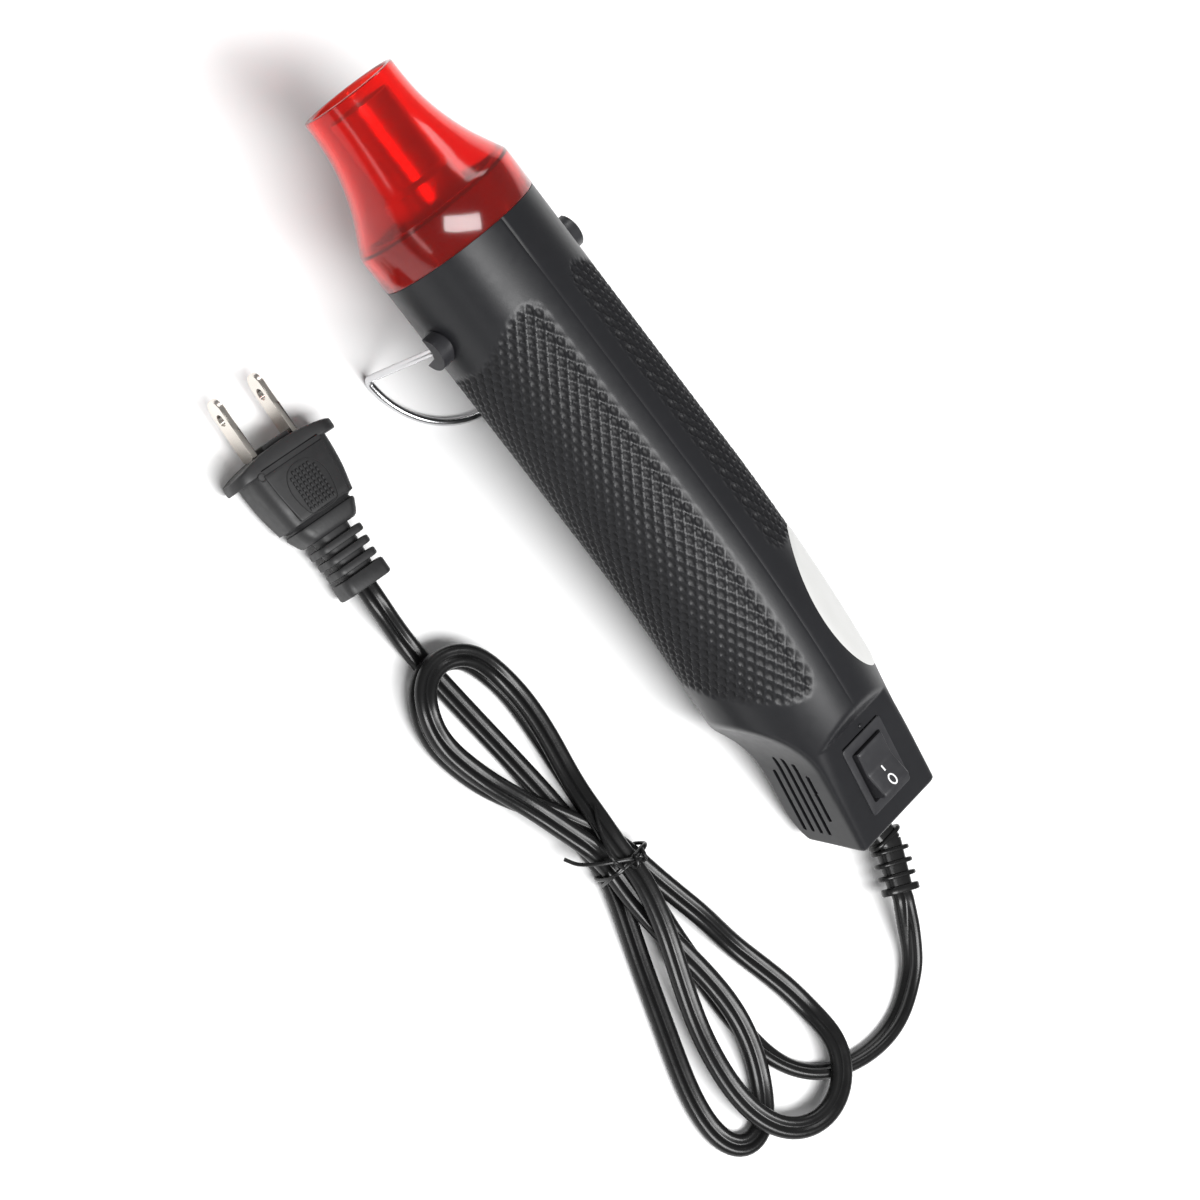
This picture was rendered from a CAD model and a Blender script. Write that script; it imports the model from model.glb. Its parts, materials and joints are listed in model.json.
# An embossing heat tool on its wire stand, with its tied cord and plug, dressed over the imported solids.
# Lengths in this script are millimetres until piece() turns them into metres.
import json
import math

import bmesh
import bpy
from mathutils import Matrix, Vector


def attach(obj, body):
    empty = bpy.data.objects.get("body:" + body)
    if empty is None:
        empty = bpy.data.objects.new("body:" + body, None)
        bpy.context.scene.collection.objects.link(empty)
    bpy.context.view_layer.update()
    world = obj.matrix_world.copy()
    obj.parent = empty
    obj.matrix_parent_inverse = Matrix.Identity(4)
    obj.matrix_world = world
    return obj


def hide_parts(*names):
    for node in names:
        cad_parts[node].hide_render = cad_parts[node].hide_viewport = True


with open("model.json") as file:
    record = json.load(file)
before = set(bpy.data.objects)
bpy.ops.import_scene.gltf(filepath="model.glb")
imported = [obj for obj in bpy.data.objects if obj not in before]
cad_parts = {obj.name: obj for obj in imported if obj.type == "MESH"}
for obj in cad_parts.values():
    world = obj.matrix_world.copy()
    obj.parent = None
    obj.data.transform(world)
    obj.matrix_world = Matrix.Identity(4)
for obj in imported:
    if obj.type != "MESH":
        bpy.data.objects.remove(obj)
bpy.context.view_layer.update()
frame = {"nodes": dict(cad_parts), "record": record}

# ---- Camera: the tool is photographed from above, from its left and a little behind the nozzle,
# with the barrel running down the picture from upper left to lower right.
joints = {j["name"]: j for j in frame["record"]["behaviour"]["joints"]}
PIVOT = Vector(joints["stand_swing"]["pos_m"]) * 1000
TOWARD_CAMERA = Vector((0.13126, 0.45762, 0.87941))
PICTURE_UP = Vector((0.75608, -0.61996, 0.20976))
AIM = Vector((PIVOT.x - 72.0, 28.9, 30))
CAMERA_DISTANCE = 937.4
camera = bpy.data.objects.new("camera", bpy.data.cameras.new("camera"))
bpy.context.collection.objects.link(camera)
camera.data.lens = 116.1
camera.data.sensor_width = 36
side = PICTURE_UP.cross(TOWARD_CAMERA).normalized()
upright = TOWARD_CAMERA.cross(side).normalized()
camera.matrix_world = Matrix.Translation((AIM + TOWARD_CAMERA * CAMERA_DISTANCE) / 1000) @ Matrix(
    (side, upright, TOWARD_CAMERA)
).transposed().to_4x4()
bpy.context.scene.camera = camera


# ---- The cord: flat twin flex, two copper cores side by side in one glossy black vinyl cover.
# It leaves the strain relief, lies on the table, goes four times round the hank and ends in the plug.
class Reading:
    """A number that changes over a surface. Sums with readings add Math nodes."""

    def __init__(self, finish, socket):
        self.finish = finish
        self.socket = socket

    def _sum(self, operation, other):
        return self.finish.node("ShaderNodeMath", {"operation": operation}, {0: self, 1: other})

    def __add__(self, other):
        return self._sum("ADD", other)

    def __mul__(self, other):
        return self._sum("MULTIPLY", other)

    __radd__ = __add__
    __rmul__ = __mul__


class Finish:
    """One real finish as a material: a Principled surface whose sockets take numbers or readings."""

    def __init__(self, name, plain_colour, **sockets):
        self.material = bpy.data.materials.new(name)
        self.material.use_nodes = True
        self.material.diffuse_color = (*plain_colour, 1)
        self.tree = self.material.node_tree
        self.shader = self.tree.nodes["Principled BSDF"]
        self.give(self.shader, "Base Color", plain_colour)
        for socket, value in sockets.items():
            self.give(self.shader, socket.replace("_", " "), value)

    def give(self, node, socket, value):
        if isinstance(value, Reading):
            self.tree.links.new(value.socket, node.inputs[socket])
        elif isinstance(value, tuple):
            node.inputs[socket].default_value = (*value, 1)
        else:
            node.inputs[socket].default_value = value

    def node(self, kind, settings, sockets, out=0):
        """A new node: its settings come first, then the values or readings of its sockets."""
        node = self.tree.nodes.new(kind)
        for setting, value in settings.items():
            setattr(node, setting, value)
        for socket, value in sockets.items():
            self.give(node, socket, value)
        return Reading(self, node.outputs[out])

    def grain(self, scale, detail):
        """Noise of about 0 to 1 that is fixed to the piece, with scale in lumps a metre."""
        place = self.node("ShaderNodeTexCoord", {}, {}, out="Object")
        return self.node("ShaderNodeTexNoise", {}, {"Vector": place, "Scale": scale, "Detail": detail})

    def colours(self, share, first, second):
        """Base colour from the first to the second as the share goes from 0 to 1."""
        mixed = self.node("ShaderNodeMix", {"data_type": "RGBA"}, {0: share, 6: first, 7: second}, out=2)
        self.give(self.shader, "Base Color", mixed)

    def dulled(self, dullness, least):
        """Roughness that rises from the least value with a reading."""
        self.give(self.shader, "Roughness", dullness + least)

    def bumps(self, height, strength, depth_mm):
        """Fine relief that only tilts the light, such as the grain of a mould."""
        bump = self.node("ShaderNodeBump", {}, {"Height": height, "Strength": strength,
                                               "Distance": depth_mm / 1000}, out="Normal")
        self.give(self.shader, "Normal", bump)


def piece(name, points, faces, finish, body, slot, stands_for=(), sharp=30):
    """A new piece from points in millimetres, riding on a body and taking a slot of the record."""
    mesh = bpy.data.meshes.new(name)
    mesh.from_pydata([Vector(p) / 1000 for p in points], [], faces)
    made = bpy.data.objects.new(name, mesh)
    bpy.context.collection.objects.link(made)
    mesh.validate()
    bm = bmesh.new()
    bm.from_mesh(mesh)
    bmesh.ops.recalc_face_normals(bm, faces=bm.faces)
    bm.to_mesh(mesh)
    bm.free()
    mesh.shade_smooth()
    mesh.set_sharp_from_angle(angle=math.radians(sharp))
    mesh.materials.append(finish.material)
    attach(made, body)
    if stands_for:
        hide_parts(*stands_for)
    return made


def curve_through(points, step):
    """Points a step apart on a smooth curve through the given ones."""
    fine_step = 0.4
    given = [Vector(p) for p in points]
    given = [2 * given[0] - given[1]] + given + [2 * given[-1] - given[-2]]
    fine = []
    for before, start, end, after in zip(given, given[1:], given[2:], given[3:]):
        count = max(2, round((end - start).length / fine_step))
        for i in range(count):
            t = i / count
            fine.append(0.5 * ((2 * start) + (end - before) * t
                               + (2 * before - 5 * start + 4 * end - after) * t * t
                               + (3 * start - before - 3 * end + after) * t ** 3))
    fine.append(given[-2])
    return even_steps(fine, step)


def even_steps(fine, step):
    """The same way with its points a step apart."""
    way = [fine[0]]
    left = step
    for start, end in zip(fine, fine[1:]):
        long = (end - start).length
        done = 0.0
        while long - done >= left:
            done += left
            way.append(start.lerp(end, done / long))
            left = step
        left -= long - done
    if (fine[-1] - way[-1]).length < step * 0.5:
        way.pop()
    return way + [fine[-1]]


def bands(rings, n, closed=False):
    """Faces between rings of n points, one after the other, and back to the first when closed."""
    return [(j * n + k, j * n + (k + 1) % n, (j + 1) % rings * n + (k + 1) % n, (j + 1) % rings * n + k)
            for j in range(rings if closed else rings - 1) for k in range(n)]


def ends(rings, n):
    """The faces that close the first and the last ring."""
    return [tuple(range(n - 1, -1, -1)), tuple(range((rings - 1) * n, rings * n))]


def ring(radius, sides):
    """Points of a round section, counter-clockwise."""
    turns = [2 * math.pi * k / sides for k in range(sides)]
    return [(radius * math.cos(a), radius * math.sin(a)) for a in turns]


def sweep(way, section, up=Vector((0, 0, 1)), rolls=()):
    """Points and faces of a closed bar: the section's x lies level across the way, and its y over it."""
    points = []
    for i, centre in enumerate(way):
        along = (way[min(i + 1, len(way) - 1)] - way[max(i - 1, 0)]).normalized()
        across = up.cross(along).normalized()
        if i < len(rolls):
            across = Matrix.Rotation(rolls[i], 3, along) @ across
        over = along.cross(across)
        points += [centre + across * x + over * y for x, y in section]
    return points, bands(len(way), len(section)) + ends(len(way), len(section))


CORD_W = 5.8
CORD_T = 2.9
LAYER = CORD_T + 0.6
FLOOR_Z = CORD_T / 2 + 0.05
TIE = Vector((-75, 59))
TIE_D = 1
TIE_Z = FLOOR_Z + TIE_D + 0.35
STRAND = CORD_W / 2 + 0.35
# The curve of a loop, sin(turn) * sin(turn / 2) ** 2, peaks at half of this
WIDEST = 1.3
CORD_STEP = 1.3
LOOP_STEPS = 160
# Each loop: reach, width, sideways bow, first and last strand across the tie, climbs in layers
LOOPS = [
    (68.5, 24.5, 4.4, -STRAND, -STRAND,
     [(0, 0), (0.36, 0), (0.45, 1.05), (0.58, 1.05), (0.67, 0.2), (0.73, 0.2), (0.81, 1.1), (1, 1)]),
    (-81, 32, 1.8, -STRAND, 0,
     [(0, 1), (0.17, 1.1), (0.24, 0.05), (0.32, 0.2), (0.39, 1.3), (0.73, 1.5), (0.85, 2.45), (1, 2)]),
    (68.5, 24.5, 4.4, 0, STRAND,
     [(0, 2), (0.12, 1.9), (0.22, 1.05), (0.34, 1.05), (0.44, 2.1), (0.59, 2.1), (0.67, 1.3), (0.72, 1.3),
      (0.8, 2.15), (0.87, 2.1), (0.94, 1.1), (1, 1)]),
    (-73, 20.5, 20, STRAND, STRAND,
     [(0, 1), (0.28, 1.3), (0.41, 0.2), (1, 0)]),
]


def eased(share):
    """A share from 0 to 1 that starts and ends gently."""
    share = min(1, max(0, share))
    return share * share * (3 - 2 * share)


def climb(steps, t):
    """Height in layers of cord, eased from step to step of a loop."""
    for (t0, low), (t1, high) in zip(steps, steps[1:]):
        if t <= t1:
            return low + (high - low) * eased((t - t0) / (t1 - t0))
    return steps[-1][1]


def loop_point(loop, t):
    """A place on a loop that starts and ends under the tie, as t goes from 0 to 1."""
    reach, width, bow, first, last, climbs = loop
    turn = 2 * math.pi * t
    out = (1 - math.cos(turn)) / 2
    over = eased((t - 0.1) / 0.7)
    across = (first * (1 - over) + last * over) * (1 - eased(1.6 * out)) + bow * out
    across -= width / WIDEST * math.sin(turn) * math.sin(turn / 2) ** 2
    height = FLOOR_Z + (TIE_Z - FLOOR_Z) * eased(1 - out / 0.35) + climb(climbs, t) * LAYER
    return Vector((TIE.x + reach * out, TIE.y + across, height))


# The tail's end and the strain relief, as in the part's source: they give the cord's first points
BARREL_R = 21.9
PIVOT_S = 60.5
BEND_S = 123
BEND_R = 320
BEND_TURN = math.radians(17.9)
BEND_X = PIVOT_S - BEND_S
barrel_way = Vector(joints["fan_spin"]["axis"])
REST_TILT = math.atan2(barrel_way.z, barrel_way.x)
in_hand = Matrix.Translation(PIVOT) @ Matrix.Rotation(-REST_TILT, 4, "Y")
at_tail = (in_hand @ Matrix.Translation((BEND_X, 0, -BEND_R)) @ Matrix.Rotation(-BEND_TURN, 4, "Y")
           @ Matrix.Translation((0, 0, BEND_R)))
RELIEF_Z = 1.4
RELIEF_LIFT = math.radians(20)
RELIEF_TURN = math.radians(27)
RELIEF_ROOT_L = 12
RELIEF_TIP_L = 13.2
relief_root = at_tail @ Matrix.Translation((0, 0, RELIEF_Z)) @ Matrix.Rotation(RELIEF_LIFT, 4, "Y")
relief_tip = relief_root @ Matrix.Translation((-RELIEF_ROOT_L, 0, 0)) @ Matrix.Rotation(-RELIEF_TURN, 4, "Z")
PLUG_H = 13
plug_place = Matrix.Translation((18.5, 63, PLUG_H / 2 + 0.02)) @ Matrix.Rotation(math.radians(-7), 4, "Z")

TOOL_RUN = [
    (-145.6, 13.4, 4.6), (-150, 18.4, 3.2), (-153, 23.8, 2.8), (-154.6, 29.5, 2.75), (-154.9, 35, 2.75),
    (-154.2, 40.5, 2.75), (-152.4, 46.5, 2.75), (-149.3, 52.4, 2.7), (-144.6, 57.2, 2.6), (-138.5, 60.2, 2.4),
    (-131, 61.6, 2.1), (-122, 61.5, 1.8), (-111, 60.4, 1.5), (-99, 59.2, 1.5), (-87, 57.6, 2.2)]
PLUG_RUN = [
    (-64, 61.6, 2.4), (-52, 60.8, 1.6), (-38, 61.2, 1.5), (-24, 61.9, 1.5), (-10, 62.5, 1.5),
    (0, 62.8, 1.9), (6.5, 63.2, 3.8)]
# The flat cord rolls nearly on edge along the run from the tool, and lies down again before the hank
ON_EDGE = math.radians(62)
ROLLING_L = 16
FLAT_FROM = 58
FLATTENING_L = 42
start_of_hank = loop_point(LOOPS[0], 0)
end_of_hank = loop_point(LOOPS[-1], 1)
tool_run = curve_through(
    [relief_tip @ Vector((-RELIEF_TIP_L, 0, 0)), relief_tip @ Vector((-RELIEF_TIP_L - CORD_W / 2, 0, 0))]
    + TOOL_RUN + [start_of_hank - Vector((CORD_W, 0, 0)), start_of_hank], CORD_STEP)
plug_run = curve_through([end_of_hank] + PLUG_RUN + [plug_place @ Vector((-CORD_W, 0, 0)),
                                                     plug_place @ Vector((0, 0, 0))], CORD_STEP)
hank = even_steps([loop_point(loop, i / LOOP_STEPS) for loop in LOOPS for i in range(LOOP_STEPS)]
                  + [end_of_hank], CORD_STEP)
cord_way = tool_run[:-1] + hank + plug_run[1:]
# Kinks where the runs and the loops meet are eased out, and both ends stay in place
SMOOTHINGS = 8
for _ in range(SMOOTHINGS):
    cord_way = (cord_way[:3]
                + [(a + 2 * b + c) / 4 for a, b, c in zip(cord_way[2:], cord_way[3:], cord_way[4:-2])]
                + cord_way[-3:])

# Two round cores with a groove between them, in one section
GROOVE = 0.56
lobe = [math.radians(a) for a in range(-138, 139, 23)]
core_r = CORD_T / 2
rolls = [ON_EDGE * eased(i * CORD_STEP / ROLLING_L) * (1 - eased((i * CORD_STEP - FLAT_FROM) / FLATTENING_L))
         for i in range(round((FLAT_FROM + FLATTENING_L) / CORD_STEP))]
cord_section = [(core_r + core_r * math.cos(a), core_r * math.sin(a)) for a in lobe]
cord_section += [(0, core_r * GROOVE)]
cord_section += [(-core_r - core_r * math.cos(a), -core_r * math.sin(a)) for a in lobe]
cord_section += [(0, -core_r * GROOVE)]

vinyl = Finish("cord_vinyl", (0.006, 0.006, 0.006), Specular_IOR_Level=0.32)
vinyl.colours(vinyl.grain(60, 3), (0.004, 0.004, 0.0042), (0.009, 0.009, 0.0092))
vinyl.dulled(vinyl.grain(340, 3) * 0.16, 0.2)
vinyl.bumps(vinyl.grain(900, 2), 0.25, 0.05)
cord = piece("cord", *sweep(cord_way, cord_section, rolls=rolls), vinyl, "tool", "cord_cover",
             ("cord_to_tool", "cord_hank", "cord_to_plug"), sharp=50)
cord_length = sum((b - a).length for a, b in zip(cord_way, cord_way[1:]))

# ---- The twist tie: a thin wire in black plastic, twice round the bundle, its ends twisted on top
# and splayed out over the loops.
TIE_GAP = 0.3
TIE_SQUARENESS = 3.2
half = STRAND + CORD_W / 2 + TIE_GAP + TIE_D / 2
tie_top = TIE_Z + 2 * LAYER + CORD_T / 2 + TIE_GAP + TIE_D / 2
tie_low = TIE_D / 2


def around_bundle(shift, lean):
    """One pass of the tie round the bundle, leaning along the cord."""
    way = []
    for i in range(49):
        a = 2 * math.pi * i / 48
        c, s = math.cos(a), math.sin(a)
        swell = (abs(c) ** TIE_SQUARENESS + abs(s) ** TIE_SQUARENESS) ** (-1 / TIE_SQUARENESS)
        way.append(Vector((TIE.x + shift + lean * math.sin(a), TIE.y + half * c * swell,
                           (tie_top + tie_low) / 2 + (tie_top - tie_low) / 2 * s * swell)))
    return way


tie_ways = [around_bundle(0, 1.1), around_bundle(1.2, -0.9)]
tie_ways.append(curve_through([(-76.4, 56.5, tie_top), (-73.4, 60.5, tie_top + 0.7),
                               (-70, 65.6, tie_top - 0.4), (-66.3, 69.6, tie_top - 2.6),
                               (-62.9, 71.4, tie_top - 3.4)], 0.8))
tie_ways.append(curve_through([(-74.6, 62.4, tie_top), (-70.6, 63.4, tie_top + 0.8), (-65.6, 61.4, tie_top),
                               (-61.6, 58.6, tie_top - 1.5), (-58.8, 56.2, tie_top - 2.2)], 0.8))
TWIST_PITCH = 0.42
tie_ways.append([Vector((TIE.x - 0.2 + 1.3 * math.cos(a), TIE.y - 3.4 + a * TWIST_PITCH,
                         tie_top + 0.7 + 0.7 * math.sin(a))) for a in [i * 0.5 for i in range(26)]])


def joined(parts):
    """Several lists of points and faces as one."""
    points, faces = [], []
    for more_points, more_faces in parts:
        faces += [tuple(len(points) + k for k in face) for face in more_faces]
        points += more_points
    return points, faces


tie_level = Vector((0.9, 0.1, 0.42))
tie = piece("twist_tie", *joined([sweep(way, ring(TIE_D / 2, 10), tie_level) for way in tie_ways]),
            vinyl, "tool", "cord_cover", ("cord_tie",))

# ---- The plug: one soft-vinyl moulding round the two blades, with a flange, a waisted grip with a
# pebbled patch, and a ribbed boot over the cord. It lies on its wide face.
BOOT_L = 16.5
BOOT_BLOCK_L = 4.4
GRIP_L = 21
FLANGE_T = 3
FLANGE_W = 32
FRONT_W = 24
REAR_W = 18.5
BLADE_PITCH = 12.7
plug_vinyl = Finish("plug_vinyl", (0.018, 0.018, 0.019))
plug_vinyl.colours(plug_vinyl.grain(90, 4), (0.01, 0.01, 0.0105), (0.018, 0.018, 0.019))
plug_vinyl.dulled(plug_vinyl.grain(500, 3) * 0.25, 0.38)
plug_vinyl.bumps(plug_vinyl.grain(1500, 3), 0.35, 0.06)


def rounded_rectangle(width, height, radius, corner=5):
    """Section points of a rectangle with round corners, counter-clockwise."""
    radius = min(radius, width / 2 - 0.01, height / 2 - 0.01)
    section = []
    for cx, cy, start in [(1, 1, 0), (-1, 1, 90), (-1, -1, 180), (1, -1, 270)]:
        for i in range(corner + 1):
            a = math.radians(start + 90 * i / corner)
            section.append((cx * (width / 2 - radius) + radius * math.cos(a),
                            cy * (height / 2 - radius) + radius * math.sin(a)))
    return section


def loft(stations, place):
    """A closed form through rounded rectangles: x, width, height and corner radius of each."""
    points = []
    for x, width, height, radius in stations:
        points += [place @ Vector((x, y, z)) for y, z in rounded_rectangle(width, height, radius)]
    n = len(points) // len(stations)
    return points, bands(len(stations), n) + ends(len(stations), n)


def plate(x, thick, width, height, radius, place, soft=0.5):
    """A rounded slab with softened rims, standing across the place's X."""
    rim = [(0, 2), (0.3, 0.6), (1, 0)]
    across = [(x + soft * into, soft * drawn_in) for into, drawn_in in rim]
    across += [(x + thick - soft * into, soft * drawn_in) for into, drawn_in in reversed(rim)]
    return loft([(at, width - less, height - less, radius) for at, less in across], place)


def grip_half(x):
    """Half the grip's width, which swells from the boot to the flange."""
    share = min(1, max(0, (x - BOOT_L) / GRIP_L))
    return (REAR_W + (FRONT_W - REAR_W) * math.sin(math.pi / 2 * share) ** 1.05) / 2


LIP = (BOOT_L - 0.6, BOOT_L + 4)
grip = [(LIP[0], REAR_W - 4.6, PLUG_H - 4.4, 2.4), (LIP[0] + 0.4, REAR_W - 3.2, PLUG_H - 3.4, 2.7),
        (LIP[0] + 1.2, REAR_W - 2.2, PLUG_H - 2.6, 3), (LIP[1] - 0.9, REAR_W + 0.1, PLUG_H - 1.6, 3.1),
        (LIP[1] - 0.3, REAR_W, PLUG_H - 1.8, 3.1), (LIP[1], REAR_W - 0.9, PLUG_H - 2.7, 3),
        (LIP[1] + 0.5, REAR_W - 1.2, PLUG_H - 3, 3), (LIP[1] + 0.9, REAR_W - 0.2, PLUG_H - 2.2, 3.1)]
for i in range(13):
    x = LIP[1] + 1.2 + (GRIP_L - LIP[1] + BOOT_L - 1.2) * i / 12
    grip.append((x, 2 * grip_half(x), PLUG_H - 1.4 + 1.4 * eased(i / 5), 3.1))
BODY_END = BOOT_L + GRIP_L
parts = [loft(grip, plug_place)]
# The flange is arched: its ends sweep back from the blades and get thinner
FLANGE_CORNER_R = 4.6
flange_points, flange_n = [], 29
for i in range(flange_n):
    y = -FLANGE_W / 2 + FLANGE_W * i / (flange_n - 1)
    y = max(-FLANGE_W / 2 + 0.05, min(FLANGE_W / 2 - 0.05, y))
    out = abs(y) / (FLANGE_W / 2)
    in_corner = max(0, abs(y) - FLANGE_W / 2 + FLANGE_CORNER_R)
    round_off = FLANGE_CORNER_R - math.sqrt(max(0, FLANGE_CORNER_R ** 2 - in_corner ** 2))
    front = BODY_END + FLANGE_T + 0.7 - 2.4 * out ** 2
    back = BODY_END - 0.9 - 0.3 * out ** 2
    for x, z in rounded_rectangle(front - back, PLUG_H - 2 * round_off, 0.7, 3):
        flange_points.append(plug_place @ Vector(((front + back) / 2 + x, y, z)))
n = len(flange_points) // flange_n
parts.append((flange_points, bands(flange_n, n) + ends(flange_n, n)))
parts += [plate(BODY_END + FLANGE_T - 1, 2.9, BLADE_PITCH - 4.4, PLUG_H - 3, 1.2, plug_place, 0.4),
          plate(0, BOOT_BLOCK_L, 13.2, 9.2, 2, plug_place, 0.6),
          loft([(0.5, 9.2, 6.2, 3), (BOOT_L, 10.4, 7, 3)], plug_place)]
RIB_T = 2
RIB_PITCH = 3.3
parts += [plate(BOOT_BLOCK_L + 1.1 + i * RIB_PITCH, RIB_T, 12.7 + 0.6 * i, 9.2 + 0.1 * i, 2.2,
                plug_place, 0.45) for i in range(3)]
PANEL_RISE = 0.35
PATCH_X = BOOT_L + 11.5
PIP_PITCH = 1.2
PIP_W = 0.72


def slab_on_top(outline, rise, soft):
    """A raised area on the plug's upper face: its outline is drawn in toward its middle as it rises."""
    middle = sum((Vector(p) for p in outline), Vector((0, 0))) / len(outline)
    points = []
    for inset, high in [(0, -0.6), (0, rise - soft * 0.6), (soft * 0.4, rise - soft * 0.15), (soft, rise)]:
        for p in outline:
            p = Vector(p) - (Vector(p) - middle).normalized() * inset
            points.append(plug_place @ Vector((p.x, p.y, PLUG_H / 2 + high)))
    n = len(outline)
    return points, bands(4, n) + ends(4, n)[1:]


panel_xs = [LIP[1] + 1.6 + (BODY_END - 1.6 - LIP[1] - 1.6) * i / 14 for i in range(15)]
panel_side = [(x, grip_half(x) - 2.9) for x in panel_xs]
parts.append(slab_on_top(panel_side + [(x, -y) for x, y in reversed(panel_side)], PANEL_RISE, 0.3))
# The finger patch: rows of small square pips inside a moulded line, arched toward the blades


def in_patch(x, y):
    """Whether a place on the upper face lies in the patch: boxy behind, round ahead."""
    ahead = (x - PATCH_X) / 5.6
    reach = 4.7 - 0.8 * max(-ahead, 0)
    power = 2.4 if ahead > 0 else 6
    return (abs(y) / reach) ** power + abs(ahead) ** power < 1


for row in range(-5, 6):
    for column in range(-4, 5):
        x, y = PATCH_X + row * PIP_PITCH, column * PIP_PITCH
        if in_patch(x, y):
            parts.append(slab_on_top([(x + a, y + b) for a, b in
                                      [(-PIP_W / 2, -PIP_W / 2), (PIP_W / 2, -PIP_W / 2),
                                       (PIP_W / 2, PIP_W / 2), (-PIP_W / 2, PIP_W / 2)]],
                                     PANEL_RISE + 0.45, 0.16))
line = []
for c, s in ring(1, 72):
    far = next(r / 20 for r in range(20, 160) if not in_patch(PATCH_X + r / 20 * c, r / 20 * s)) + 0.9
    line.append(plug_place @ Vector((PATCH_X + far * c, far * s, PLUG_H / 2 + PANEL_RISE + 0.05)))
LINE_R = 0.16
parts.append(sweep(line + line[:1], ring(LINE_R, 6)))
# The round mark of the pin that pushed the moulding out of its mould
mark = [plug_place @ Vector((BODY_END - 1.5 + x, 9.6 + y, PLUG_H / 2 + 0.02)) for x, y in ring(1.05, 28)]
parts.append(sweep(mark + mark[:1], ring(LINE_R, 6)))
plug = piece("plug_moulding", *joined(parts), plug_vinyl, "tool", "plug_plastic", ("plug_body",), sharp=38)

# ---- The blades: folded nickel-plated brass strip, each with a round hole and a tip that is rounded
# off. The plug is moulded round their other ends.
BLADE_L = 17.8
BLADE_W = 6.3
BLADE_T = 1.5
nickel = Finish("blade_nickel", (0.72, 0.66, 0.58), Metallic=1.0)
nickel.colours(nickel.grain(160, 3), (0.8, 0.76, 0.71), (0.66, 0.61, 0.55))
nickel.dulled(nickel.grain(500, 3) * 0.14, 0.16)
blade_outline = [(0, -BLADE_W / 2), (BLADE_L - 2.6, -BLADE_W / 2), (BLADE_L - 0.9, -BLADE_W / 2 + 0.8),
                 (BLADE_L, -BLADE_W / 2 + 2), (BLADE_L, BLADE_W / 2 - 2), (BLADE_L - 0.9, BLADE_W / 2 - 0.8),
                 (BLADE_L - 2.6, BLADE_W / 2), (0, BLADE_W / 2)]
HOLE = Vector((BLADE_L - 5.5, 0))
HOLE_R = 1.6
BLADE_EDGE = 0.25
SPOKES_OF_HOLE = 48


def blade(side_of_plug):
    """A flat blade with its hole: the outline's points are joined to those of the hole."""
    corners = [Vector(p) for p in blade_outline]
    rim = []
    for way in map(Vector, ring(1, SPOKES_OF_HOLE)):
        far = min(((p - HOLE).cross(q - p) / way.cross(q - p)
                   for p, q in zip(corners, corners[1:] + corners[:1])
                   if abs(way.cross(q - p)) > 1e-6 and (p - HOLE).cross(q - p) / way.cross(q - p) > 0.1
                   and -1e-6 <= (p - HOLE).cross(way) / way.cross(q - p) <= 1 + 1e-6), default=3)
        rim.append((HOLE + way * HOLE_R, HOLE + way * (far - BLADE_EDGE), HOLE + way * far))
    points = []
    for inner, near, edge in rim:
        for flat, high in [(inner, -BLADE_T / 2), (inner, BLADE_T / 2), (near, BLADE_T / 2),
                           (edge, BLADE_T / 2 - BLADE_EDGE), (edge, BLADE_EDGE - BLADE_T / 2),
                           (near, -BLADE_T / 2)]:
            points.append(plug_place @ Vector((BODY_END + FLANGE_T + flat.x,
                                               side_of_plug * BLADE_PITCH / 2 + high, flat.y)))
    return points, bands(len(rim), 6, closed=True)


blades = piece("plug_pins", *joined([blade(-1), blade(1)]), nickel, "tool", "blade_nickel", ("plug_blades",))

relief_tip @ Vector((-RELIEF_TIP_L, 0, 0)) / 1000
[p / 1000 for p in cord_way]

# ---- The strain relief: a soft black vinyl moulding over the cord's first stretch, with fins that
# let it bend. Its collar sits in the end wall of the tail.
FIN_W = 10.6
FIN_H = CORD_T + 2.6
FIN_PITCH = 3.3
FIN_T = 1.2
LAST_FIN_T = 1.9


def fins(place, places, thick):
    """Fins at these distances from the root or from the bend in the relief."""
    return [plate(-x - thick, thick, FIN_W, FIN_H, 2.6, place, 0.35) for x in places]


relief_parts = [loft([(-RELIEF_ROOT_L - 0.4, 7.4, 4.4, 2), (0.5, 9, 5.2, 2.5)], relief_root),
                loft([(-RELIEF_TIP_L + 0.2, 6.8, 4, 1.9), (0.6, 7.4, 4.4, 2)], relief_tip),
                plate(-1.2, 1.5, 9.4, 5.6, 2.6, at_tail @ Matrix.Translation((0, 0, RELIEF_Z)), 0.3)]
relief_parts += fins(relief_root, [0.1 + i * FIN_PITCH for i in (1, 2, 3)], FIN_T)
relief_parts += fins(relief_tip, [1.5 + i * FIN_PITCH for i in range(3)], FIN_T)
relief_parts += fins(relief_tip, [RELIEF_TIP_L - LAST_FIN_T], LAST_FIN_T)
piece("strain_relief_moulding", *joined(relief_parts), vinyl, "tool", "cord_cover", ("strain_relief",),
      sharp=38)

# ---- The housing: two halves moulded in charcoal plastic and screwed together along the top and
# bottom seams. The grips are moulded in as rows of small diamonds; the tail is cut flat for the switch.
SEAM_S = 44
NECK_S = 33.5
NECK_R = 20
TAIL_S = BEND_S + BEND_TURN * BEND_R
PANEL_B = 16.5
PANEL_L = 31
SWITCH_X = 16.5
SWITCH_CUT = 9.4
RAMP = math.tan(math.radians(38))
FLANK_A = 14.7
FLANK_L = 24
HEEL_B = 9.1
HEEL_L = 18
HEEL_ROUND = 4.5
SCOOP_R = 30
VENT_W = 1.3
VENT_PITCH = 3
VENT_Z = 3
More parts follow.
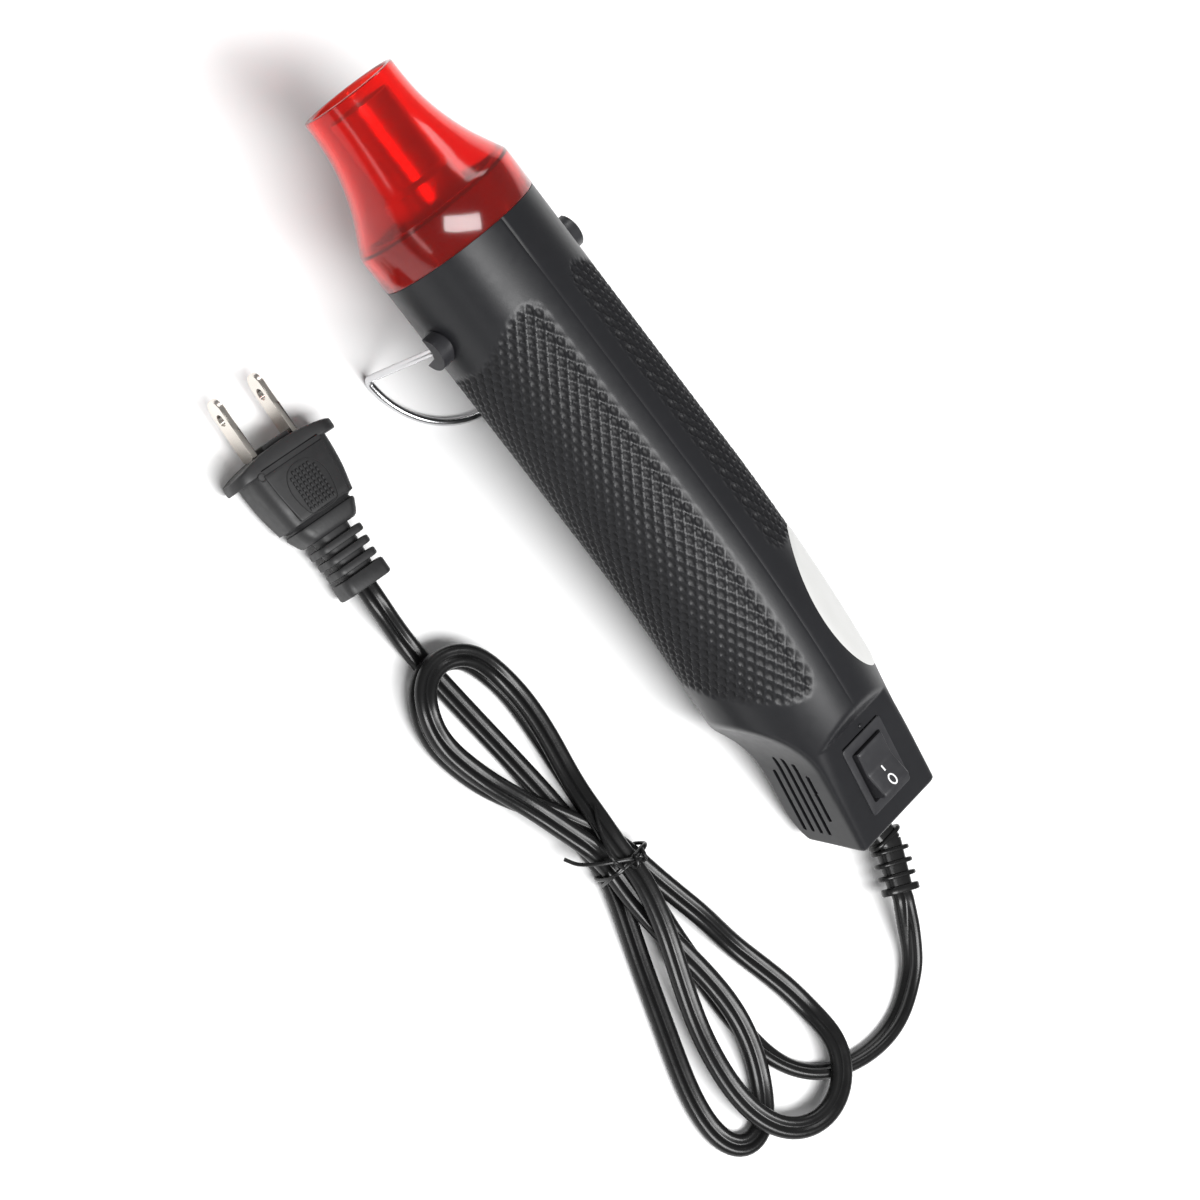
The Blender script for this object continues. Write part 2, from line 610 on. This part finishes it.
# The vents, from the lowest up: their distances from the tail end, from and to
VENTS = [(4, 24), (4, 29), (4, 29), (4, 27.5), (9, 24)]
DIAMOND_L = 4.2
DIAMOND_W = 2.8
RIDGE_W = 0.66
DIAMOND_DEPTH = 0.55
SEAM_DEPTH = 0.3
SEAM_FADED = 0.07
TAIL_FROM = 178
GRIP_FROM = 62.7
GRIP_TOP = 13
GRIP_LOW = 165
MM_PER_DEGREE = 0.38
GRIP_CORNER_R = 5
GRIP_FADE = 1.6


def on_barrel(s, turn, r):
    """A place in the tool: station, turn from the top seam toward the left, and radius."""
    aside = r * math.sin(turn)
    up = r * math.cos(turn)
    if s <= BEND_S:
        return in_hand @ Vector((PIVOT_S - s, aside, up))
    bend = (s - BEND_S) / BEND_R
    return in_hand @ Vector((BEND_X - (BEND_R + up) * math.sin(bend), aside,
                             (BEND_R + up) * math.cos(bend) - BEND_R))


def lesser(a, b, soft):
    """The smaller of two, with a round change between them."""
    near = max(soft - abs(a - b), 0) / soft
    return min(a, b) - near * near * soft / 4


def scooped(x, flat, start):
    """How far out a flat lies, where it runs out into the barrel in a scoop."""
    beyond = min(max(x - start, 0), SCOOP_R * 0.995)
    return flat + SCOOP_R - math.sqrt(SCOOP_R ** 2 - beyond ** 2)


def housing_r(s, turn):
    """Outer radius of the smooth housing at a place."""
    if s < SEAM_S:
        return NECK_R
    r = BARREL_R
    if s > TAIL_FROM:
        back = (TAIL_S - s) / BEND_R
        c, a = math.cos(turn), max(abs(math.sin(turn)), 1e-4)
        for _ in range(2):
            x = (BEND_R + r * c) * math.sin(back)
            r = lesser(BARREL_R, scooped(x, FLANK_A, FLANK_L) / a, 1.4)
            if c > 0.05:
                top = PANEL_B + max(x - PANEL_L, 0) * RAMP
                r = lesser(r, ((BEND_R + top) / math.cos(back) - BEND_R) / c, 1.3)
            if c < -0.05:
                end = min(max(x, 0), HEEL_ROUND)
                low = scooped(x, HEEL_B, HEEL_L) - HEEL_ROUND
                low += math.sqrt(HEEL_ROUND ** 2 - (HEEL_ROUND - end) ** 2)
                corner = 4.5 + 13 * max(0, 1 - x / 10) ** 2
                r = lesser(r, ((BEND_R - low) / math.cos(back) - BEND_R) / c, corner)
        end_round = 1.1
        if x < end_round:
            r -= end_round - math.sqrt(end_round ** 2 - (end_round - max(x, 0)) ** 2)
    return r


def grip_share(s, turn):
    """1 inside the grips and 0 outside, fading out near their edge."""
    off_top = math.degrees(abs(turn))
    start = GRIP_FROM + 7 * eased((off_top - 20) / 60)
    if turn > 0:
        end = 180 - 13 * eased((off_top - 17) / 93)
    else:
        end = 149 + 18 * eased((off_top - 88) / 20)
    below_top = (off_top - GRIP_TOP) * MM_PER_DEGREE
    edge = min(below_top, (GRIP_LOW - off_top) * MM_PER_DEGREE, s - start, end - s)
    near_long = GRIP_CORNER_R - min(s - start, end - s)
    near_side = GRIP_CORNER_R - below_top
    if near_long > 0 and near_side > 0:
        edge = min(edge, GRIP_CORNER_R - math.hypot(near_long, near_side))
    return min(1, max(0, edge / GRIP_FADE))


def diamond_depth(s, turn):
    """Depth of the moulded diamonds: low cells between crossing ridges."""
    across = BARREL_R * turn
    depth = 1.0
    for lean in (-1, 1):
        u = s / DIAMOND_L + lean * across / DIAMOND_W
        off_ridge = abs(u - round(u)) / math.hypot(1 / DIAMOND_L, 1 / DIAMOND_W)
        depth = min(depth, eased((off_ridge - RIDGE_W / 2 + 0.3) / 0.55))
    return depth * DIAMOND_DEPTH


vents = [(low, high, (i - (len(VENTS) - 1) / 2) * VENT_PITCH + VENT_Z) for i, (low, high) in enumerate(VENTS)]


def from_vents(x, z):
    """Distance outside the nearest vent's outline, and the way out of it."""
    nearest = (9, Vector((0, 1)))
    for low, high, middle in vents:
        on_line = min(max(x, low + VENT_W / 2), high - VENT_W / 2)
        off = Vector((x - on_line, z - middle))
        if off.length - VENT_W / 2 < nearest[0]:
            nearest = (off.length - VENT_W / 2, off.normalized() if off.length > 1e-6 else Vector((0, 1)))
    return nearest


# Stations of the skin: fine over the grips and the tail, with rows at the switch and round the end's edge
rings = [SEAM_S + 0.02, SEAM_S + 0.25] + [SEAM_S + 1 + i for i in range(17)]
rings += [61.8 + i * 0.525 for i in range(246)]
rings += [191.1 + i * 0.4 for i in range(int((TAIL_S - 191.1) / 0.4))]
rings += [TAIL_S - BEND_R * math.asin((SWITCH_X + way) / BEND_R) for way in (-SWITCH_CUT, SWITCH_CUT)]
rings += [TAIL_S - x for x in (0, 0.08, 0.25, 0.5, 0.8, 1.15)]
rings = sorted(set(round(s, 3) for s in rings))
rings = [s for i, s in enumerate(rings) if i == 0 or s - rings[i - 1] > 0.06]

charcoal = Finish("housing_charcoal", (0.016, 0.016, 0.018), Specular_IOR_Level=0.3)
pit = charcoal.node("ShaderNodeAttribute", {"attribute_name": "pit"}, {}, out="Fac")
charcoal.colours(charcoal.grain(35, 4) * 0.5 + pit * 0.9, (0.014, 0.0143, 0.0162), (0.005, 0.005, 0.006))
charcoal.dulled(charcoal.grain(420, 3) * 0.12 + pit * 0.15, 0.3)
charcoal.bumps(charcoal.grain(2600, 2), 0.25, 0.03)

# Three screw holes show on the right: how far along, and how high. The label hides the fourth
SCREWS = [(128, 8), (128, -14.6), (172, -18.2)]
SCREW_HOLE_R = 2.9
SCREW_SEAT = 9
SCREW_SIDES = 32
VENT_WALL = 2.2


def barrel_drop(s):
    """How far the barrel's middle has dropped from the straight at a station's place along X."""
    beyond = max(s - BEND_S, 0)
    return BEND_R - math.sqrt(BEND_R ** 2 - beyond ** 2)


def strips(rows, n):
    """Faces between rows of n points that don't close on themselves."""
    return [(j * n + k, j * n + k + 1, (j + 1) * n + k + 1, (j + 1) * n + k)
            for j in range(rows - 1) for k in range(n - 1)]


def housing_half(left):
    """One half's outer skin, with its vents, switch opening and screw holes."""
    sign = 1 if left else -1
    turns = [math.pi * i / 148 for i in range(149)]
    switch_turn = math.atan2(6.4, PANEL_B)
    turns = sorted([t for t in turns if abs(t - switch_turn) > 0.006] + [switch_turn])
    n = len(turns)
    points = []
    pits = []
    for s in rings:
        for k, t in enumerate(turns):
            r = housing_r(s, t * sign)
            share = grip_share(s, t * sign)
            pits.append(0.0)
            if share > 0:
                depth = share * diamond_depth(s, t * sign)
                r -= depth
                pits[-1] = depth / DIAMOND_DEPTH
            if k in (0, n - 1):
                seam = SEAM_FADED + (SEAM_DEPTH - SEAM_FADED) * eased((62 - s) / 14)
                r -= seam if k else seam * eased((TAIL_S - PANEL_L - s) / 8)
                pits[-1] = seam / SEAM_DEPTH
            points.append(on_barrel(s, t * sign, r))
    to_tail = at_tail.inverted()
    vent_rows = range(next(i for i, s in enumerate(rings) if s > TAIL_S - 32), len(rings))
    for i in [j * n + k for j in vent_rows for k in range(n) if 0.4 < turns[k] < 2.4]:
        flat = to_tail @ points[i]
        off, outward = from_vents(flat.x, flat.z)
        if abs(off) < 0.19:
            flat.x -= off * outward.x
            flat.z -= off * outward.y
            points[i] = at_tail @ flat
    holes = []
    if not left:
        holes = [in_hand @ Vector((PIVOT_S - s, 0, z)) for s, z in SCREWS]
        level = in_hand.to_3x3()
        to_hand = level.inverted()
        for i, p in enumerate(points):
            for hole in holes:
                if (p - hole).length > 30:
                    continue
                off = to_hand @ (p - hole)
                flat = Vector((off.x, off.z))
                if off.y < -3 and abs(flat.length - SCREW_HOLE_R) < 0.28:
                    flat *= SCREW_HOLE_R / flat.length
                    points[i] = hole + level @ Vector((flat.x, off.y, flat.y))
    faces = []
    for i in range(len(rings) - 1):
        mid_s = (rings[i] + rings[i + 1]) / 2
        x = BEND_R * math.sin((TAIL_S - mid_s) / BEND_R)
        for k in range(n - 1):
            mid = (turns[k] + turns[k + 1]) / 2
            corner = i * n + k
            cut = abs(x - SWITCH_X) < SWITCH_CUT and mid < switch_turn
            if x < 32 and 0.4 < mid < 2.4:
                flat = to_tail @ ((points[corner] + points[corner + n + 1]
                                   + points[corner + 1] + points[corner + n]) / 4)
                cut = cut or from_vents(flat.x, flat.z)[0] < 0
            if holes and 100 < mid_s < 190 and 0.3 < mid < 2.9:
                middle = (points[corner] + points[corner + n + 1]) / 2
                cut = cut or any((to_hand @ (middle - h)).xz.length < SCREW_HOLE_R - 0.05 for h in holes)
            if not cut:
                faces.append((corner, corner + 1, corner + n + 1, corner + n))
    # The end wall
    last_row = (len(rings) - 1) * n
    points.append(at_tail @ Vector((0, 0, 3)))
    faces += [(last_row + k, last_row + k + 1, len(points) - 1) for k in range(n - 1)]
    # Vent walls, so that each slot shows the thickness of the moulding
    walls = []
    for low, high, middle in vents:
        outline = []
        for end, start in [(high - VENT_W / 2, -90), (low + VENT_W / 2, 90)]:
            round_end = [math.radians(start + 22.5 * k) for k in range(9)]
            outline += [(end + VENT_W / 2 * math.cos(a), middle + VENT_W / 2 * math.sin(a))
                        for a in round_end]
        along_vent = [(low + (high - low) * k / 6) for k in range(1, 6)]
        outline = (outline[:9] + [(x, middle + VENT_W / 2) for x in reversed(along_vent)]
                   + outline[9:] + [(x, middle - VENT_W / 2) for x in along_vent])
        wall = [at_tail @ Vector((x, sign * (scooped(x, FLANK_A, FLANK_L) - depth), z))
                for depth in (0.03, VENT_WALL) for x, z in outline]
        walls.append((wall, bands(2, len(outline))))
    for (s, z), hole in zip(SCREWS, holes):
        rim = []
        for ring_r, seated in [(SCREW_HOLE_R, False), (SCREW_HOLE_R, True), (1.5, True)]:
            for along, up in ring(ring_r, SCREW_SIDES):
                off_middle = z + barrel_drop(s) + up
                depth = SCREW_SEAT - 2 if seated else math.sqrt(BARREL_R ** 2 - off_middle ** 2) - 0.04
                rim.append(hole + level @ Vector((along, -depth, up)))
        walls.append((rim, bands(3, SCREW_SIDES)))
    # The neck under the guard, with its rim
    sides = 60
    neck = []
    for s, r in [(SEAM_S + 0.02, BARREL_R - 0.3), (SEAM_S + 0.02, NECK_R), (NECK_S + 0.4, NECK_R),
                 (NECK_S, NECK_R - 0.4), (NECK_S, NECK_R - 1.6), (NECK_S + 0.4, NECK_R - 2),
                 (52, NECK_R - 2)]:
        neck += [on_barrel(s, sign * math.pi * k / sides, r) for k in range(sides + 1)]
    walls.append((neck, strips(7, sides + 1)))
    name = "left_shell" if left else "right_shell"
    node = "left_housing" if left else "right_housing"
    shell = piece(name, *joined([(points, faces)] + walls), charcoal, "tool", "housing", (node,), sharp=50)
    depths = shell.data.attributes.new("pit", "FLOAT", "POINT")
    depths.data.foreach_set("value", pits + [0.0] * (len(shell.data.vertices) - len(pits)))


housing_half(True)
housing_half(False)

# The raised dot beside the switch shows where it is pressed to run: part of the left moulding.
DOT_R = 0.7
DOT_X = 28.4
DOT_Y = -1.2
dot = [at_tail @ Vector((DOT_X + x, DOT_Y + y, PANEL_B + h))
       for w, h in [(1, -0.1), (0.9, 0.25), (0.5, 0.45)] for x, y in ring(DOT_R * w, 12)]
piece("panel_dot", dot, bands(3, 12) + ends(3, 12)[1:], charcoal, "tool", "housing")

# ---- The oval label on the right side: thin white film stuck over the end of the grip and over one of
# the screws. It is left bare.
LABEL_S = 168
LABEL_L = 41
LABEL_W = 26
LABEL_TURN = math.radians(-50)
LABEL_LIFT = 0.24
film = Finish("label_film", (0.85, 0.85, 0.84))
film.colours(film.grain(150, 3), (0.52, 0.52, 0.51), (0.57, 0.57, 0.56))
film.dulled(film.grain(300, 2) * 0.15, 0.28)
label_points = []
label_rings, label_spokes = 14, 72
for j in range(label_rings + 1):
    share = j / label_rings
    lift = LABEL_LIFT if j < label_rings else 0.02
    for c, s in ring(1, label_spokes):
        along, aside = LABEL_L / 2 * share * c, LABEL_W / 2 * share * s
        label_points.append(on_barrel(LABEL_S + along, LABEL_TURN + aside / BARREL_R, BARREL_R + lift))
piece("oval_label", label_points, bands(label_rings + 1, label_spokes), film, "tool", "label",
      ("rating_label",))

# ---- The nozzle guard: a bell of clear red plastic, moulded with its collar, that keeps fingers off
# the hot tube. It slides over the housing's neck.
BELL = [(0.6, 12.95), (5, 13.05), (10, 13.4), (15, 14.3), (20, 15.7), (25, 17.6), (29, 19.6), (32.4, 21.4)]
GUARD_WALL = 1.8
outer = [(p.x, p.y) for p in curve_through([(s, r, 0) for s, r in BELL], 1.2)]
profile = [(0.6, 11.2), (0.15, 11.5), (0, 12), (0, 12.5), (0.15, 12.8)] + outer
profile += [(33.3, 21.85), (34.4, 22), (43.7, 22), (43.95, 21.8), (43.95, NECK_R + 0.12), (35, NECK_R + 0.12)]
profile += [(s, r - GUARD_WALL) for s, r in reversed(outer)]
SPOKES = 144
guard_points = [on_barrel(s, 2 * math.pi * k / SPOKES, r) for s, r in profile for k in range(SPOKES)]
clear_red = Finish("guard_red", (0.95, 0.06, 0.04), Roughness=0.13, IOR=1.45,
                   Transmission_Weight=0.92)
clear_red.colours(clear_red.grain(40, 2), (0.98, 0.03, 0.02), (0.93, 0.05, 0.035))
piece("red_guard", guard_points, bands(len(profile), SPOKES, closed=True), clear_red, "tool", "guard",
      ("nozzle_guard",), sharp=40)

# ---- The heater: a bare steel tube lined with mica, with the coil wound on a mica cross and a mica ring
# that holds it all in the nose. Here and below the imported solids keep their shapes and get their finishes.


def dress(nodes, finish):
    """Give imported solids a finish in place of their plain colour."""
    for node in nodes:
        solid = frame["nodes"][node]
        solid = bpy.data.objects[solid] if isinstance(solid, str) else solid
        for slot in solid.material_slots:
            slot.material = finish.material
        if not solid.material_slots:
            solid.data.materials.append(finish.material)


heated = Finish("heated_steel", (0.6, 0.56, 0.5), Metallic=1.0)
heated.colours(heated.grain(120, 3), (0.66, 0.62, 0.56), (0.42, 0.34, 0.26))
heated.dulled(heated.grain(600, 3) * 0.25, 0.22)
dress(["heater_tube", "thermal_cutoff"], heated)

mica = Finish("mica_sheet", (0.75, 0.66, 0.48), Roughness=0.5)
mica.colours(mica.grain(400, 5), (0.8, 0.72, 0.55), (0.62, 0.5, 0.33))
dress(["mica_sleeve", "mica_former", "heater_holder"], mica)

coil_wire = Finish("coil_alloy", (0.35, 0.28, 0.22), Metallic=1.0, Roughness=0.45)
coil_wire.colours(coil_wire.grain(300, 3), (0.4, 0.33, 0.27), (0.22, 0.17, 0.13))
dress(["heating_coil"], coil_wire)

# ---- The stand: one spring-steel wire, nickel plated and bent to a foot, sprung into two black bushes
# that are pushed into the housing's sides.
sprung = Finish("spring_wire", (0.62, 0.62, 0.63), Metallic=1.0)
sprung.colours(sprung.grain(150, 2), (0.68, 0.68, 0.69), (0.5, 0.5, 0.51))
sprung.dulled(sprung.grain(500, 3) * 0.2, 0.12)
dress(["stand_bail"], sprung)

black_plastic = Finish("black_plastic", (0.02, 0.02, 0.022))
black_plastic.colours(black_plastic.grain(60, 3), (0.014, 0.014, 0.016), (0.03, 0.03, 0.033))
black_plastic.dulled(black_plastic.grain(500, 2) * 0.2, 0.26)
dress(["stand_bushes"], black_plastic)

# ---- The blower: a small motor in a moulded mount turns a milky plastic fan, which draws air in through
# the tail's vents and drives it over the coil.
dress(["motor"], heated)
dress(["motor_mount"], black_plastic)

milky = Finish("fan_plastic", (0.8, 0.8, 0.78), Roughness=0.45)
milky.colours(milky.grain(80, 3), (0.82, 0.82, 0.8), (0.74, 0.74, 0.71))
dress(["fan_rotor"], milky)

plain_steel = Finish("screw_steel", (0.4, 0.4, 0.41), Metallic=1.0, Roughness=0.35)
plain_steel.colours(plain_steel.grain(300, 3), (0.45, 0.45, 0.46), (0.3, 0.3, 0.31))
dress(["motor_shaft"], plain_steel)

# ---- The screws and the wiring: self-tapping steel screws close the housing and the cord's clamp, and
# red leads run from the clamp by the switch to the board and the heater.
dress(["housing_screws", "clamp_screws"], plain_steel)
dress(["cord_clamp"], black_plastic)

green_board = Finish("board_green", (0.05, 0.22, 0.08), Roughness=0.45)
green_board.colours(green_board.grain(250, 4), (0.05, 0.24, 0.09), (0.03, 0.16, 0.06))
dress(["rectifier_board"], green_board)

red_cover = Finish("lead_red", (0.45, 0.03, 0.02), Roughness=0.4)
red_cover.colours(red_cover.grain(120, 2), (0.5, 0.035, 0.025), (0.38, 0.025, 0.02))
dress(["lead_wires"], red_cover)

# ---- The switch: a snap-in rocker with a thin frame that lies on the panel and a dished paddle.
# The nozzle end of the paddle is pressed. The marks are moulded in white.
BEZEL_L = 21
BEZEL_W = 15
BEZEL_T = 0.4
PADDLE_L = 13.6
PADDLE_W = 9.6
on_switch = at_tail @ Matrix.Translation((SWITCH_X, 0, PANEL_B + 0.05))


def frame_ring(outer_l, outer_w, inner_l, inner_w, low, high, place, soft=0.35, radius=0.8):
    """A flat frame with softened outer and inner rims, and a well inside it."""
    loops = [(outer_l, outer_w, low, radius), (outer_l, outer_w, high - soft, radius),
             (outer_l - 0.6 * soft, outer_w - 0.6 * soft, high - 0.25 * soft, radius),
             (outer_l - 2 * soft, outer_w - 2 * soft, high, radius),
             (inner_l + soft, inner_w + soft, high, 0.5), (inner_l, inner_w, high - soft, 0.4),
             (inner_l, inner_w, low - 4, 0.4)]
    points = [place @ Vector((x, y, z)) for long, wide, z, r in loops
              for x, y in rounded_rectangle(long, wide, r)]
    return points, bands(len(loops), len(points) // len(loops))


# Under the frame hangs the can with the contacts; its top is the floor that shows beside the paddle
CAN_L = 18.7
CAN_W = 12.7
CAN_FLOOR = -9.9
CAN_H = 5.2
upward = Matrix(((0, 1, 0, 0), (0, 0, 1, 0), (1, 0, 0, CAN_FLOOR), (0, 0, 0, 1)))
can = loft([(0, CAN_L, CAN_W, 0.6), (CAN_H, CAN_L, CAN_W, 0.6)], on_switch @ upward)
bezel = frame_ring(BEZEL_L, BEZEL_W, PADDLE_L + 1.4, PADDLE_W + 1, -0.03, BEZEL_T, on_switch)
piece("switch_frame", *joined([bezel, can]), black_plastic, "tool", "black_plastic", ("switch_body",))

rocker_axis = Vector(joints["rocker_tilt"]["pos_m"]) * 1000
pressed = math.radians(12)
on_rocker = Matrix.Translation(rocker_axis) @ at_tail.to_3x3().to_4x4() @ Matrix.Rotation(pressed, 4, "Y")


def paddle_top(x):
    """Height of the dished paddle over its axis."""
    return 3.5 + 1.7 * abs(x / (PADDLE_L / 2)) ** 1.12


COLUMNS = 25
UNDERSIDE = -1.5
paddle_points = []
columns = [-PADDLE_L / 2 + PADDLE_L * i / (COLUMNS - 1) for i in range(COLUMNS)]
widths = [(-1, -0.4), (-0.94, -0.08), (-0.85, 0), (-0.4, 0), (0, 0), (0.4, 0), (0.85, 0), (0.94, -0.08),
          (1, -0.4)]
for x in columns:
    end = 0.35 if abs(x) > PADDLE_L / 2 - 0.01 else 0
    paddle_points.append(on_rocker @ Vector((x, -PADDLE_W / 2, UNDERSIDE)))
    paddle_points += [on_rocker @ Vector((x, w * PADDLE_W / 2, paddle_top(x) + dz - end)) for w, dz in widths]
    paddle_points.append(on_rocker @ Vector((x, PADDLE_W / 2, UNDERSIDE)))
n = len(widths) + 2
paddle_faces = strips(COLUMNS, n) + ends(COLUMNS, n)
paddle_faces += [(j * n, (j + 1) * n, (j + 1) * n + n - 1, j * n + n - 1) for j in range(COLUMNS - 1)]
piece("switch_paddle", paddle_points, paddle_faces, black_plastic, "rocker", "black_plastic",
      ("switch_rocker",), sharp=35)

MARK_T = 0.03
O_X = -4.6
O_RIMS = [(1.1, 0.72), (1.52, 1.12)]
O_SIDES = 40
I_X = -1.15
white_ink = Finish("white_marks", (0.75, 0.75, 0.75), Roughness=0.5)
white_ink.colours(white_ink.grain(500, 2), (0.8, 0.8, 0.8), (0.68, 0.68, 0.68))


def on_paddle(x, y):
    """A place just over the paddle's face."""
    return on_rocker @ Vector((x, y, paddle_top(x) + MARK_T))


o_mark = [on_paddle(O_X + long * c, wide * s) for c, s in ring(1, O_SIDES) for long, wide in O_RIMS]
o_faces = [(2 * k, 2 * k + 1, 2 * ((k + 1) % O_SIDES) + 1, 2 * ((k + 1) % O_SIDES)) for k in range(O_SIDES)]
i_mark = [on_paddle(I_X + x, y) for x in (-0.8, -0.27, 0.27, 0.8) for y in (-0.22, 0.22)]
i_faces = [(2 * k, 2 * k + 1, 2 * k + 3, 2 * k + 2) for k in range(3)]
piece("switch_marks", *joined([(o_mark, o_faces), (i_mark, i_faces)]), white_ink, "rocker", "label")

# ---- Table and light: a plain white table under a broad soft light behind and above the tail, with a
# weak strip from the tool's left, a weak fill from its front right, and a pale room.
table = bpy.data.meshes.new("table")
table.from_pydata([(-6, -6, 0), (6, -6, 0), (6, 6, 0), (-6, 6, 0)], [], [(0, 1, 2, 3)])
floor = bpy.data.objects.new("table", table)
bpy.context.collection.objects.link(floor)
floor.location.z = -0.0002
paper = Finish("table_white", (0.93, 0.93, 0.93), Roughness=0.9)
table.materials.append(paper.material)
world = bpy.data.worlds.new("room")
world.use_nodes = True
world.node_tree.nodes["Background"].inputs[0].default_value = (1, 1, 1, 1)
world.node_tree.nodes["Background"].inputs[1].default_value = 0.24
bpy.context.scene.world = world
bpy.context.scene.view_settings.view_transform = "Standard"


def soft_light(name, place, size, power):
    """A rectangular lamp that points at the tool, in metres and watts."""
    lamp = bpy.data.lights.new(name, "AREA")
    lamp.shape = "RECTANGLE"
    lamp.size, lamp.size_y = size
    lamp.energy = power
    light = bpy.data.objects.new(name, lamp)
    light.location = place
    light.rotation_euler = (-Vector(place)).to_track_quat("-Z", "Y").to_euler()
    bpy.context.collection.objects.link(light)


soft_light("overhead", (-0.6, 0.34, 1.3), (1.2, 0.5), 34)
soft_light("side_strip", (0.1, 1.3, 0.45), (1.6, 0.15), 2)
soft_light("fill", (0.7, -0.9, 0.9), (0.8, 0.3), 4)
